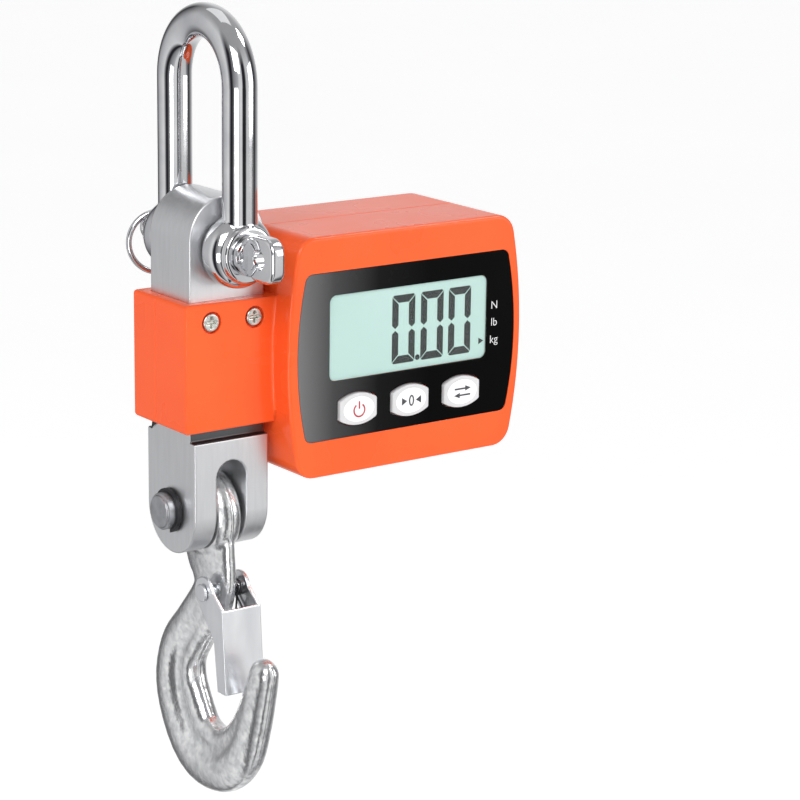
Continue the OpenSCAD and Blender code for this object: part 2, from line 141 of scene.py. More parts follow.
def new_finish(name):
    finish = bpy.data.materials.new(name + " finish")
    finish.use_nodes = True
    nodes = finish.node_tree.nodes
    return finish, nodes, finish.node_tree.links, nodes["Principled BSDF"]


def set_specular(finish, level):
    shader = finish.node_tree.nodes["Principled BSDF"]
    shader.inputs["Specular IOR Level"].default_value = level


def object_axis(nodes, links, axis):
    where = nodes.new("ShaderNodeTexCoord")
    split = nodes.new("ShaderNodeSeparateXYZ")
    links.new(where.outputs["Object"], split.inputs["Vector"])
    return split.outputs[axis]


def add_math(nodes, links, operation, *sources):
    step = nodes.new("ShaderNodeMath")
    step.operation = operation
    for spot, source in enumerate(sources):
        links.new(source, step.inputs[spot])
    return step.outputs["Value"]


def add_mix(nodes, links, factor, colour, other):
    mix = nodes.new("ShaderNodeMix")
    mix.data_type = "RGBA"
    links.new(factor, mix.inputs["Factor"])
    links.new(colour, mix.inputs["A"])
    mix.inputs["B"].default_value = other
    return mix.outputs["Result"]


def add_noise(nodes, links, scale, stretch=(1, 1, 1), detail=3):
    spot = nodes.new("ShaderNodeTexCoord")
    turn = nodes.new("ShaderNodeMapping")
    turn.inputs["Scale"].default_value = stretch
    noise = nodes.new("ShaderNodeTexNoise")
    noise.inputs["Scale"].default_value = scale
    noise.inputs["Detail"].default_value = detail
    links.new(spot.outputs["Object"], turn.inputs["Vector"])
    links.new(turn.outputs["Vector"], noise.inputs["Vector"])
    return noise.outputs["Fac"]


def add_ramp(nodes, links, source, stops):
    ramp = nodes.new("ShaderNodeValToRGB")
    while len(ramp.color_ramp.elements) < len(stops):
        ramp.color_ramp.elements.new(0.5)
    for element, (spot, colour) in zip(ramp.color_ramp.elements, stops):
        element.position = spot
        element.color = colour
    links.new(source, ramp.inputs["Fac"])
    return ramp.outputs["Color"]


def add_range(nodes, links, source, low, high, start=NOISE_LOW, stop=NOISE_HIGH):
    spread = nodes.new("ShaderNodeMapRange")
    spread.inputs["From Min"].default_value = start
    spread.inputs["From Max"].default_value = stop
    spread.inputs["To Min"].default_value = low
    spread.inputs["To Max"].default_value = high
    links.new(source, spread.inputs["Value"])
    return spread.outputs["Result"]


def add_bump(nodes, links, source, strength, depth_mm, shader):
    bump = nodes.new("ShaderNodeBump")
    bump.inputs["Strength"].default_value = strength
    bump.inputs["Distance"].default_value = depth_mm * MM
    links.new(source, bump.inputs["Height"])
    links.new(bump.outputs["Normal"], shader.inputs["Normal"])


def make_finish(name, light, dark, gloss, metal=0.0, broad=60, fine=2500, stretch=(1, 1, 1),
                bump=(0.15, 0.05), coat=0.0, alpha=1.0, glow=0.0):
    finish, nodes, links, shader = new_finish(name)
    broad_noise = add_noise(nodes, links, broad, stretch)
    fine_noise = add_noise(nodes, links, fine, stretch, 4)
    colours = add_ramp(nodes, links, broad_noise, [(NOISE_LOW, dark), (NOISE_HIGH, light)])
    links.new(colours, shader.inputs["Base Color"])
    links.new(add_range(nodes, links, broad_noise, *gloss), shader.inputs["Roughness"])
    add_bump(nodes, links, fine_noise, *bump, shader)
    shader.inputs["Metallic"].default_value = metal
    shader.inputs["Coat Weight"].default_value = coat
    shader.inputs["Coat Roughness"].default_value = COAT_ROUGHNESS
    shader.inputs["Alpha"].default_value = alpha
    shader.inputs["Emission Color"].default_value = light
    shader.inputs["Emission Strength"].default_value = glow
    return finish


# %% [markdown]
# ### Moulded orange plastic
# The housing is glossy orange ABS. A mould leaves a very fine orange-peel, and the gloss
# wanders a little over the face. A thin clear coat gives the sharp light line along each
# rounded edge over a softer body.

# %% Orange plastic
orange_plastic = make_finish("orange_plastic", srgb(248, 98, 46), srgb(243, 91, 40), (0.24, 0.34),
                             broad=35, fine=900, bump=(0.05, 0.04), coat=0.32)
set_specular(orange_plastic, 0.1)
print("made", orange_plastic.name)

# %% [markdown]
# ### Metals
# The shackle and its pin are polished steel, which is nearly a mirror with faint swirl
# marks. The load cell is aluminium that was brushed along its length, so its grain is the
# same noise, squeezed along Z into long streaks. Small parts are zinc plated or nickel
# plated, and the circlips are phosphated, which is nearly black and dull.

# %% Metal finishes
polished_steel = make_finish("polished_steel", srgb(222, 222, 224), srgb(200, 201, 204), (0.05, 0.1), 1,
                             broad=90, fine=500, bump=(0.08, 0.05))
zinc_screw = make_finish("zinc_screw", srgb(222, 222, 214), srgb(190, 193, 188), (0.2, 0.34), 1,
                         broad=700, fine=3000)
latch_steel = make_finish("latch_steel", srgb(240, 241, 243), srgb(222, 224, 227), (0.28, 0.38), 1,
                          broad=160, fine=1500, stretch=(1, 1, 0.25), bump=(0.12, 0.05))
pin_steel = make_finish("pin_steel", srgb(186, 187, 190), srgb(160, 161, 164), (0.34, 0.45), 1,
                        broad=300, fine=2600)
dark_phosphate = make_finish("dark_phosphate", srgb(66, 66, 68), srgb(46, 46, 49), (0.4, 0.55), 0.7,
                             broad=500, fine=3500)
contact_nickel = make_finish("contact_nickel", srgb(215, 210, 198), srgb(196, 190, 178), (0.2, 0.3), 1,
                             broad=300, fine=2000)
print("made the metals")

# %% [markdown]
# ### Brushed aluminium with painted shade on the shoulder
# The bar's grain runs up and down. Right under the collar, on the step where the bar widens to
# the fork, shade is painted into the colour: a dark band on the front and the back only, for the
# shade of the recess under the collar's overhang. A mask of three ramps picks it out: far enough
# out along Y, above the step and below the collar.

# %% Aluminium of the bar
cell_aluminium = make_finish("cell_aluminium", srgb(224, 225, 227), srgb(217, 218, 220), (0.34, 0.42), 1,
                             broad=900, fine=3800, stretch=(1, 1, 0.08), bump=(0.05, 0.02))
nodes, links = cell_aluminium.node_tree.nodes, cell_aluminium.node_tree.links
shader = nodes["Principled BSDF"]
STEP_Z, COLLAR_Z = -113.0, -108.0
NECK_Y = 10.3
# Mask of the painted shade band in the recess under the collar
outward = add_math(nodes, links, "ABSOLUTE", object_axis(nodes, links, "Y"))
upward = object_axis(nodes, links, "Z")
painted_shade_mask = None
for source, start, stop in ((outward, NECK_Y, NECK_Y + 0.15),
                            (upward, STEP_Z - 0.35, STEP_Z - 0.2),
                            (upward, COLLAR_Z + 0.2, COLLAR_Z)):
    ramp = add_range(nodes, links, source, 0, 1, start * MM, stop * MM)
    painted_shade_mask = add_math(nodes, links, "MULTIPLY", painted_shade_mask, ramp) if painted_shade_mask else ramp
plain_colour = shader.inputs["Base Color"].links[0].from_socket
# Painted shade: the band's colour is darkened to srgb(96, 98, 100) for the shade under the collar
painted_shade_colour = add_mix(nodes, links, painted_shade_mask, plain_colour, srgb(96, 98, 100))
links.new(painted_shade_colour, shader.inputs["Base Color"])
print("dark band just above z", STEP_Z, "mm")

# %% [markdown]
# ### Forged and galvanised hook
# The hook is a drop forging with a zinc coat. Its colour is mottled from mid grey to pale
# grey, its skin is slightly lumpy, and the two halves of the die leave a thin raised line
# down the middle of its edge. The line lies at X = 0, so the distance from that plane, put
# through a steep ramp, is added to the bump's height.

# %% Forged zinc
forged_zinc, nodes, links, shader = new_finish("forged_zinc")
LINE_EDGE, LINE_TOP = 0.5, 0.15
mottle = add_noise(nodes, links, 420, detail=8)
lumps = add_noise(nodes, links, 520, detail=8)
colours = add_ramp(nodes, links, mottle, [(0.3, srgb(200, 201, 202)), (0.5, srgb(222, 223, 224)),
                                          (0.68, srgb(240, 240, 240))])
links.new(colours, shader.inputs["Base Color"])
links.new(add_range(nodes, links, mottle, 0.26, 0.14), shader.inputs["Roughness"])
away = add_math(nodes, links, "ABSOLUTE", object_axis(nodes, links, "X"))
ridge = add_range(nodes, links, away, 0, 1, LINE_EDGE * MM, LINE_TOP * MM)
height = add_math(nodes, links, "ADD", ridge, lumps)
add_bump(nodes, links, height, 0.5, 0.3, shader)
shader.inputs["Metallic"].default_value = 0.9
print("made", forged_zinc.name)

# %% [markdown]
# ### Overlay, window and display
# The overlay is a black film under a clear hard coat. Its colour carries a painted reflection:
# charcoal at its left edge and black at its right, along a ramp in X. The window is thin and
# clear: a low alpha lets the light through to the mint panel behind it, where glass would leave
# it dark.

# %% Overlay black
overlay_black, nodes, links, shader = new_finish("overlay_black")
film_low, film_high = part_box("overlay_panel")
across = add_range(nodes, links, object_axis(nodes, links, "X"), 0, 1, film_low.x, film_high.x)
# Painted reflection: grey at the left edge fading to black at the right, for the sheen on the hard coat
painted_reflection_ramp = add_ramp(nodes, links, across, [(0.0, srgb(112, 112, 113)), (0.16, srgb(66, 66, 67)),
                                       (0.36, srgb(20, 20, 21)), (0.6, srgb(2, 2, 2))])
links.new(painted_reflection_ramp, shader.inputs["Base Color"])
links.new(add_range(nodes, links, add_noise(nodes, links, 80), 0.2, 0.28), shader.inputs["Roughness"])
add_bump(nodes, links, add_noise(nodes, links, 1800), 0.04, 0.03, shader)
set_specular(overlay_black, 0.05)
print("overlay runs from", round(film_low.x, 4), "to", round(film_high.x, 4))

# %% Window and display finishes
FLAT_SPECULAR = 0.15
clear_window = make_finish("clear_window", srgb(235, 245, 242), srgb(228, 240, 236), (0.05, 0.08),
                           alpha=0.03, bump=(0.02, 0.01))
lcd_mint = make_finish("lcd_mint", srgb(187, 213, 207), srgb(172, 204, 196), (0.4, 0.5), broad=14,
                       fine=4000, bump=(0.05, 0.02))
lcd_ink = make_finish("lcd_ink", srgb(26, 28, 30), srgb(20, 22, 24), (0.6, 0.7), fine=4000,
                      bump=(0.04, 0.01))
for flat_finish in (clear_window, lcd_mint, lcd_ink):
    set_specular(flat_finish, FLAT_SPECULAR)
frame_white = make_finish("frame_white", srgb(240, 240, 238), srgb(228, 228, 226), (0.4, 0.5))
print("made the display finishes")

# %% [markdown]
# ### Keys and printing
# Each key is a light-grey silicone cap with a white oval in the middle. Prints are thin
# layers of ink, so they take the same noise with hardly any bump.

# %% Key and print finishes
INK_BUMP = (0.05, 0.01)
key_white = make_finish("key_white", srgb(214, 213, 214), srgb(204, 203, 204), (0.35, 0.45),
                        broad=120, bump=(0.08, 0.03))
key_face = make_finish("key_face", srgb(250, 250, 250), srgb(242, 242, 243), (0.3, 0.4),
                       broad=120, bump=(0.06, 0.03))
print_white = make_finish("print_white", srgb(248, 248, 248), srgb(238, 238, 238), (0.35, 0.45),
                          bump=INK_BUMP)
print_red = make_finish("print_red", srgb(190, 50, 62), srgb(176, 42, 54), (0.4, 0.5), bump=INK_BUMP)
print_grey = make_finish("print_grey", srgb(72, 72, 76), srgb(62, 62, 66), (0.4, 0.5), bump=INK_BUMP)
print("made the key and print finishes")

# %% [markdown]
# ### Parts inside the housing
# The board, its chips, the switches, the batteries and the gauges show only when the cover
# is off, but each still gets its own finish.

# %% Inside finishes
zebra_rubber = make_finish("zebra_rubber", srgb(70, 70, 72), srgb(48, 48, 50), (0.6, 0.75),
                           broad=2500)
board_green = make_finish("board_green", srgb(34, 104, 62), srgb(26, 86, 50), (0.3, 0.45),
                          broad=400, coat=0.3)
chip_black = make_finish("chip_black", srgb(46, 46, 48), srgb(36, 36, 38), (0.5, 0.65), fine=3500)
switch_dark = make_finish("switch_dark", srgb(72, 72, 76), srgb(56, 56, 60), (0.4, 0.55))
gauge_foil = make_finish("gauge_foil", srgb(206, 150, 92), srgb(186, 128, 72), (0.3, 0.4), 0.6,
                         broad=900)
cable_jacket = make_finish("cable_jacket", srgb(226, 226, 222), srgb(210, 210, 206), (0.45, 0.55))
cell_wrap = make_finish("cell_wrap", srgb(214, 176, 74), srgb(190, 150, 52), (0.25, 0.35), 0.3,
                        broad=200)
print("made the inside finishes")

# %% [markdown]
# ## Making the CAD parts finer
# The CAD parts have the right shape, but their edges are knife sharp, and a moulded or a
# machined edge never is. A fine copy is made of each: its loose triangles are merged, flat
# areas are dissolved into single faces, and a Bevel modifier rounds the sharp edges, which
# gives the light line that the eye expects. The edges are picked in code and given a bevel
# weight, so one part can have wide and narrow edges. A Weighted Normal modifier then keeps
# the flat faces flat, so that only the rounded edge catches the light.

# %% Helpers for fine copies
MERGE_WITHIN = 2e-6
FLAT_WITHIN = math.radians(0.4)
ROUND_CORNER = 60


def only(piece):
    if bpy.context.object and bpy.context.object.mode != "OBJECT":
        bpy.ops.object.mode_set(mode="OBJECT")
    bpy.ops.object.select_all(action="DESELECT")
    piece.select_set(True)
    bpy.context.view_layer.objects.active = piece


def apply_modifier(piece, kind, **settings):
    only(piece)
    modifier = piece.modifiers.new(kind.title(), kind)
    for key, value in settings.items():
        setattr(modifier, key, value)
    bpy.ops.object.modifier_apply(modifier=modifier.name)


def fine_copy(node, name):
    source = frame["nodes"][node]
    piece = source.copy()
    piece.data = source.data.copy()
    piece.name = piece.data.name = name
    piece.parent = None
    piece.matrix_world = Matrix.Identity(4)
    bpy.context.scene.collection.objects.link(piece)
    only(piece)
    bpy.ops.mesh.customdata_custom_splitnormals_clear()
    bpy.ops.object.mode_set(mode="EDIT")
    bpy.ops.mesh.select_all(action="SELECT")
    bpy.ops.mesh.remove_doubles(threshold=MERGE_WITHIN)
    bpy.ops.mesh.dissolve_limited(angle_limit=FLAT_WITHIN)
    bpy.ops.object.mode_set(mode="OBJECT")
    return piece


def every_edge(middle):
    return 1.0


def round_edges(piece, width, rule=every_edge, corner=35, segments=3):
    mesh = bmesh.new()
    mesh.from_mesh(piece.data)
    weight = mesh.edges.layers.float.new("bevel_weight_edge")
    for edge in mesh.edges:
        if len(edge.link_faces) == 2 and edge.calc_face_angle(0) > math.radians(corner):
            edge[weight] = rule((edge.verts[0].co + edge.verts[1].co) / 2 / MM)
    mesh.to_mesh(piece.data)
    mesh.free()
    apply_modifier(piece, "BEVEL", width=width * MM, segments=segments, limit_method="WEIGHT",
                   miter_outer="MITER_ARC", use_clamp_overlap=False)


def finish_piece(piece, body, slot, material, corner=40, *nodes):
    piece.data.materials.clear()
    piece.data.materials.append(material)
    only(piece)
    bpy.ops.object.shade_smooth_by_angle(angle=math.radians(corner))
    if corner < ROUND_CORNER:
        apply_modifier(piece, "WEIGHTED_NORMAL", mode="FACE_AREA_WITH_ANGLE", weight=100,
                       keep_sharp=True)
    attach(piece, body)
    if nodes:
        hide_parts(*nodes)
    print(piece.name, len(piece.data.polygons), "faces on", body)


def refine(node, name, body, slot, material, width, rule=every_edge, corner=35, segments=3, smooth=30):
    piece = fine_copy(node, name)
    round_edges(piece, width, rule, corner, segments)
    finish_piece(piece, body, slot, material, smooth, node)


# %% [markdown]
# ## Housing shells
# The two shells meet in a thin dark line. The outside edges have a radius of a bit more
# than a millimetre, and the corner where the collar runs into the head is filled by the
# same radius. The openings and the seam have much smaller ones.

# %% Where the shells' wide edges are
shell_low, shell_high = (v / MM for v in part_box("front_shell"))
rear_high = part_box("rear_shell")[1] / MM
film_low, film_high = film_low / MM, film_high / MM
fork_pin_z = sum(v.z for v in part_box("hook_pin")) / 2 / MM
COLLAR_FRONT, COLLAR_BACK = -13.9, 15.0
COLLAR_LEFT = shell_low.x
SEAM_Y = shell_high.y
CHANNEL_X, CHANNEL_Y = 12.7, 10.8
SCREWS_X, SCREWS_Z, SCREWS_ROOM = 11.5, -78, 5
FILM_ROOM = 0.3
SAME = 0.02


def near(a, b):
    return abs(a - b) < SAME


def shell_edge(middle):
    x, y, z = middle
    in_channel = abs(x) < CHANNEL_X and abs(y) < CHANNEL_Y
    in_film = (film_low.x - FILM_ROOM < x < film_high.x + FILM_ROOM and
               film_low.z - FILM_ROOM < z < film_high.z + FILM_ROOM)
    if near(y, SEAM_Y):
        return 0.3
    if in_channel:
        return 0.2
    if near(y, shell_low.y):
        return 0.12 if in_film else 1.0
    if near(y, rear_high.y):
        return 1.0
    if near(y, COLLAR_FRONT) and abs(x) < SCREWS_X and abs(z - SCREWS_Z) < SCREWS_ROOM:
        return 0.2
    if near(y, COLLAR_FRONT) or near(y, COLLAR_BACK) or near(x, COLLAR_LEFT):
        return 1.0
    return 0.0


print("collar from y", COLLAR_FRONT, "to", COLLAR_BACK, "and its left side at x", round(COLLAR_LEFT, 2))

# %% Front and rear shells
SHELL_RADIUS = 1.1
for half in ("front", "rear"):
    refine(f"{half}_shell", f"housing_{half}", "scale_body", "orange_plastic", orange_plastic,
           SHELL_RADIUS, shell_edge)

# %% [markdown]
# ## Battery cover
# The cover is a plain plate with finger ribs. Its edges are eased a little, so a shadow
# line shows round it.

# %% Battery cover
COVER_RADIUS = 0.35
refine("battery_cover", "cover_plate", "cover_body", "orange_plastic", orange_plastic, COVER_RADIUS)

# %% [markdown]
# ## Load cell
# The bar is milled, and its edges are broken all round by half a millimetre. The broken
# edges are what catches the light on such a bar.

# %% Load cell
BAR_RADIUS = 0.55
refine("load_cell", "load_bar", "scale_body", "cell_aluminium", cell_aluminium, BAR_RADIUS)

# %% [markdown]
# ## Shackle, pin and ring
# The shackle is forged and polished. The copy keeps its true round bar and gets small
# radii where the bar runs into the eyes. The pin's tab is pressed flat and has a hole. Its
# outline is well rounded, and the other edges of the pin are only eased, apart from those
# close to where the tab leaves the collar.

# %% Shackle
BOW_RADIUS, POLISHED_SMOOTH = 0.5, 32
refine("shackle", "shackle_bow", "shackle_body", "polished_steel", polished_steel, BOW_RADIUS,
       corner=40, segments=4, smooth=POLISHED_SMOOTH)

# %% Screw pin and ring
TAB_RADIUS = 1.1
screw_z = fork_pin_z + 77.3
TAB_Y, HOLE_Y, HOLE_ROOM = -25.6, -29.9, 3
BESIDE_TAB, REAR_Y = 3, 10
EASED = 0.25


def tab_edge(middle):
    if middle.y > TAB_Y:
        return EASED if abs(middle.x) > BESIDE_TAB or middle.y > REAR_Y else 0.0
    return EASED if math.hypot(middle.y - HOLE_Y, middle.z - screw_z) < HOLE_ROOM else 1.0


refine("shackle_pin", "tab_pin", "pin_body", "polished_steel", polished_steel, TAB_RADIUS, tab_edge,
       smooth=POLISHED_SMOOTH)
ring = fine_copy("pin_ring", "safety_ring")
finish_piece(ring, "ring_body", "polished_steel", polished_steel, ROUND_CORNER, "pin_ring")

# %% [markdown]
# ## Hook
# A forging has no sharp corner anywhere. The eye and the shank overlap in the CAD model, so
# the copy is remeshed into one skin with half-millimetre cells and then smoothed, which
# rounds the place where they meet as a die does.

# %% Hook
CELL, HOOK_SMOOTH = 0.55, 80
hook = fine_copy("hook", "forged_hook")
apply_modifier(hook, "REMESH", mode="VOXEL", voxel_size=CELL * MM)
apply_modifier(hook, "SMOOTH", factor=0.5, iterations=5)
finish_piece(hook, "hook_body", "forged_zinc", forged_zinc, HOOK_SMOOTH, "hook")

# %% [markdown]
# ## Latch, rivet and hook pin
# The latch is folded from sheet, so its outer edges are round and its rim catches the
# light. The hook pin has a turned end, and two circlips hold it in the fork.

# %% Latch and pins
SHEET_RADIUS, TURNED_RADIUS, CLIP_RADIUS = 0.35, 0.3, 0.15
refine("latch", "folded_latch", "latch_body", "latch_steel", latch_steel, SHEET_RADIUS)
refine("latch_rivet", "domed_rivet", "hook_body", "latch_steel", latch_steel, SHEET_RADIUS)
refine("hook_pin", "fork_pin", "scale_body", "pin_steel", pin_steel, TURNED_RADIUS)
for side in ("left", "right"):
    refine(f"circlip_{side}", f"snap_ring_{side}", "scale_body", "dark_phosphate", dark_phosphate,
           CLIP_RADIUS, segments=2)

# %% [markdown]
# ## Screws
# The two screws in the collar are small pan heads with a cross recess. Rounding the rim of
# the head turns a disc into a pan head.

# %% Screws
HEAD_TOP_Y, HEAD_RADIUS = -13.8, 0.4


def head_edge(middle):
    return 1.0 if near(middle.y, HEAD_TOP_Y) else 0.1


refine("collar_screws", "pan_screws", "scale_body", "zinc_screw", zinc_screw, HEAD_RADIUS, head_edge)

# %% [markdown]
# ## Overlay and window
# The film sits in a recess of the front shell. Its window and key openings have a hair of
# a radius. The clear window keeps its thickness.

# %% Overlay and window
FILM_RADIUS, PANE_RADIUS = 0.15, 0.2
refine("overlay_panel", "overlay_film", "scale_body", "overlay_black", overlay_black, FILM_RADIUS,
       segments=2)
refine("lcd_window", "clear_pane", "scale_body", "clear_window", clear_window, PANE_RADIUS, segments=2)

# %% [markdown]
# ## Keys
# A key is a silicone cap that shows a light-grey rim. On it sits a white oval with a low
# crown. The oval starts as a flat disc that is stretched to an ellipse, raised with an
# extrude, and crowned by two insets that each step forward a little.

# %% Key caps and their ovals
FACE_Y = shell_low.y
OVAL_WIDE, OVAL_HIGH = 10.9, 7.5
OVAL_RISE, CROWN_INSET, CAP_RADIUS = 0.12, 0.3, 0.4


def crowned_oval(name, x, y, z, wide, high):
    bpy.ops.object.select_all(action="DESELECT")
    bpy.ops.mesh.primitive_circle_add(vertices=56, radius=0.5 * MM, fill_type="NGON",
                                      location=(x * MM, y * MM, z * MM), rotation=(math.pi / 2, 0, 0))
    oval = bpy.context.object
    oval.name = oval.data.name = name
    bpy.ops.object.mode_set(mode="EDIT")
    bpy.ops.mesh.select_all(action="SELECT")
    bpy.ops.transform.resize(value=(wide, 1, high))
    bpy.ops.mesh.extrude_region_move(TRANSFORM_OT_translate={"value": (0, -OVAL_RISE * MM, 0)})
    for step in (0.09, 0.05):
        bpy.ops.mesh.inset(thickness=CROWN_INSET * MM)
        bpy.ops.transform.translate(value=(0, -step * MM, 0))
    bpy.ops.mesh.select_all(action="SELECT")
    bpy.ops.mesh.normals_make_consistent(inside=False)
    bpy.ops.object.mode_set(mode="OBJECT")
    bpy.ops.object.transform_apply(location=True, rotation=True, scale=True)
    return oval


key_spots = {}
for node, body in (("key_power", "power_key"), ("key_tare", "tare_key"), ("key_unit", "unit_key")):
    refine(node, node.replace("key_", "cap_"), body, "key_white", key_white, CAP_RADIUS)
    low, high = (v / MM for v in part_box(node))
    key_spots[node] = ((low.x + high.x) / 2, low.y, (low.z + high.z) / 2)
    oval = crowned_oval(node.replace("key_", "oval_"), *key_spots[node], OVAL_WIDE, OVAL_HIGH)
    finish_piece(oval, body, "key_white", key_face, 40)

# %% [markdown]
# ## Signs on the keys
# The signs are flat prints, so each is drawn as an outline: a disc with as many corners as
# the outline has is added, its corners are put in place, and the face gets a small
# thickness. They are plain signs: a power sign, a zero between two pointers for the tare,
# and two arrows for changing the unit.

# %% Helper for flat prints
def flat_print(name, outline, y, thick=0.05):
    bpy.ops.object.select_all(action="DESELECT")
    bpy.ops.mesh.primitive_circle_add(vertices=len(outline), radius=MM, fill_type="NGON")
    piece = bpy.context.object
    piece.name = piece.data.name = name
    for vertex, (x, z) in zip(piece.data.vertices, outline):
        vertex.co = Vector((x, y, z)) * MM
    bpy.ops.object.mode_set(mode="EDIT")
    bpy.ops.mesh.select_all(action="SELECT")
    bpy.ops.mesh.extrude_region_move(TRANSFORM_OT_translate={"value": (0, -thick * MM, 0)})
    bpy.ops.mesh.select_all(action="SELECT")
    bpy.ops.mesh.normals_make_consistent(inside=False)
    bpy.ops.object.mode_set(mode="OBJECT")
    return piece


def joined(pieces, name):
    bpy.ops.object.select_all(action="DESELECT")
    for piece in pieces:
        piece.select_set(True)
    bpy.context.view_layer.objects.active = pieces[0]
    if len(pieces) > 1:
        bpy.ops.object.join()
    pieces[0].name = pieces[0].data.name = name
    return pieces[0]


def arc_points(x, z, radius, start, stop, count=24):
    angles = [math.radians(start + (stop - start) * i / count) for i in range(count + 1)]
    return [(x + radius * math.cos(a), z + radius * math.sin(a)) for a in angles]


# %% Power sign
SIGN_LIFT = 0.25
RING_OUT, RING_IN, RING_DROP = 2.15, 1.65, 0.3
x, y, z = key_spots["key_power"]
ring_sign = flat_print("ring", arc_points(x, z - RING_DROP, RING_OUT, 125, 415) +
                       arc_points(x, z - RING_DROP, RING_IN, 415, 125), y - SIGN_LIFT)
bar_sign = flat_print("bar", [(x - 0.25, z + 0.1), (x + 0.25, z + 0.1), (x + 0.25, z + 2.4),
                              (x - 0.25, z + 2.4)], y - SIGN_LIFT)
power_sign = joined([ring_sign, bar_sign], "power_sign")
finish_piece(power_sign, "power_key", "key_white", print_red, 30)

# %% Zero between two pointers
ZERO_WIDE, ZERO_HIGH, ZERO_STROKE = 0.95, 1.7, 0.48
x, y, z = key_spots["key_tare"]
zero = flat_print("zero", [(x + ZERO_WIDE * c, z + ZERO_HIGH * s)
                           for c, s in arc_points(0, 0, 1, 0, 350, 35)], y - SIGN_LIFT)
only(zero)
bpy.ops.object.mode_set(mode="EDIT")
bpy.ops.mesh.select_mode(type="FACE")
bpy.ops.mesh.select_all(action="DESELECT")
bpy.ops.object.mode_set(mode="OBJECT")
for face in zero.data.polygons:
    face.select = face.normal.y < -0.9
bpy.ops.object.mode_set(mode="EDIT")
bpy.ops.mesh.inset(thickness=ZERO_STROKE * MM)
bpy.ops.mesh.delete(type="FACE")
bpy.ops.object.mode_set(mode="OBJECT")
pointers = [flat_print("pointer", [(x + side * 3.5, z - 1.15), (x + side * 1.6, z),
                                   (x + side * 3.5, z + 1.15)], y - SIGN_LIFT) for side in (-1, 1)]
tare_sign = joined([zero] + pointers, "tare_sign")
finish_piece(tare_sign, "tare_key", "key_white", print_grey, 30)

# %% Two arrows
x, y, z = key_spots["key_unit"]
ARROW = [(-2.9, 0.75), (1.0, 0.75), (1.0, 0.2), (3.1, 1.0), (1.0, 1.85), (1.0, 1.25), (-2.9, 1.25)]
arrows = [flat_print("arrow", [(x + side * px, z + side * pz) for px, pz in ARROW], y - SIGN_LIFT)
          for side in (1, -1)]
unit_sign = joined(arrows, "unit_sign")
finish_piece(unit_sign, "unit_key", "key_white", print_grey, 30)

# %% [markdown]
# ## Figures on the display
# The display shows three zeros with a point after the first. A figure has seven strokes, of
# which six are dark in a zero: slanted bars at the top and bottom, and four uprights whose
# ends are cut at an angle, so thin light lines run between them. The first figure is drawn
# once and the others are copies with meshes of their own.

# %% Figures
pane_low, pane_high = (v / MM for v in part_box("lcd_window"))
pane_x, pane_z = (pane_low.x + pane_high.x) / 2, (pane_low.z + pane_high.z) / 2
GLASS_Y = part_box("lcd_face")[0].y / MM
INK = 0.015
WIDE, TALL, STROKE = 8.3, 20.5, 2.3
GAP, CUT, EASE, SHOULDER = 0.09, 0.5, 0.1, 0.4


def zero_strokes(x, z):
    left, top = x - WIDE / 2, z + TALL / 2
    right_end = left + WIDE - GAP
    strokes = []
    for flip in (1, -1):
        bar = [(left + CUT + GAP, top), (right_end - CUT, top), (right_end - EASE, top - SHOULDER),
               (right_end - STROKE + EASE, top - STROKE), (left + STROKE - EASE + GAP, top - STROKE),
               (left + EASE + GAP, top - SHOULDER)]
        strokes.append([(px, z + flip * (pz - z)) for px, pz in bar])
        for turn in (1, -1):
            foot = z + GAP * 2
            upright = [(left, top - SHOULDER - GAP), (left + STROKE, top - STROKE - 0.35 - GAP),
                       (left + STROKE, foot + 1.1), (left + STROKE / 2, foot + 0.1),
                       (left, foot + 1.1)]
            strokes.append([(x + turn * (px - x), z + flip * (pz - z)) for px, pz in upright])
    return strokes


first_zero = zero_strokes(pane_x - 1.95, pane_z - 0.2)
figure = joined([flat_print("stroke", outline, GLASS_Y, INK) for outline in first_zero], "figure")
figures = [figure]
for shift in (10.4, 20.6):
    only(figure)
    bpy.ops.object.duplicate()
    bpy.ops.transform.translate(value=(shift * MM, 0, 0))
    bpy.ops.object.transform_apply(location=True)
    figures.append(bpy.context.object)
point_outline = arc_points(pane_x + 3.25, pane_z - 9.4, 0.85, 0, 350, 35)
point = flat_print("point", point_outline, GLASS_Y, INK)
marker = flat_print("marker", [(pane_x + 25.9, pane_z - 8.4), (pane_x + 27.8, pane_z - 7.4),
                               (pane_x + 25.9, pane_z - 6.4)], GLASS_Y, INK)
display_figures = joined(figures + [point, marker], "display_figures")
finish_piece(display_figures, "scale_body", "chip_black", lcd_ink, 30)

# %% [markdown]
# ## Unit letters
# The three unit signs beside the window are white print. Text is typed, given a little
# thickness, and made a mesh before it is put in its place.

# %% Unit letters
LETTERS_X, LETTER_SIZE, LETTER_THIN, LETTER_THICK = 31.2, 3.5, -0.05, 0.03
letters = []
for word, lift in (("N", 3.1), ("lb", -2.1), ("kg", -7.4)):
    bpy.ops.object.select_all(action="DESELECT")
    spot = Vector((pane_x + LETTERS_X, FACE_Y, pane_z + lift)) * MM
    bpy.ops.object.text_add(location=spot, rotation=(math.pi / 2, 0, 0))
    text = bpy.context.object
    text.data.body = word
    text.data.size = LETTER_SIZE * MM
    text.data.offset = LETTER_THIN * MM
    text.data.extrude = LETTER_THICK * MM
    text.data.align_x = "CENTER"
    text.data.align_y = "CENTER"
    bpy.ops.object.convert(target="MESH")
    bpy.ops.object.transform_apply(location=True, rotation=True, scale=True)
    letters.append(bpy.context.object)
unit_letters = joined(letters, "unit_letters")
finish_piece(unit_letters, "scale_body", "frame_white", print_white, 30)

# %% [markdown]
# ## Parts that stay as the CAD made them
# The parts inside the housing, and the small wire parts, already have the right shape, so
# they stay and only take a finish.

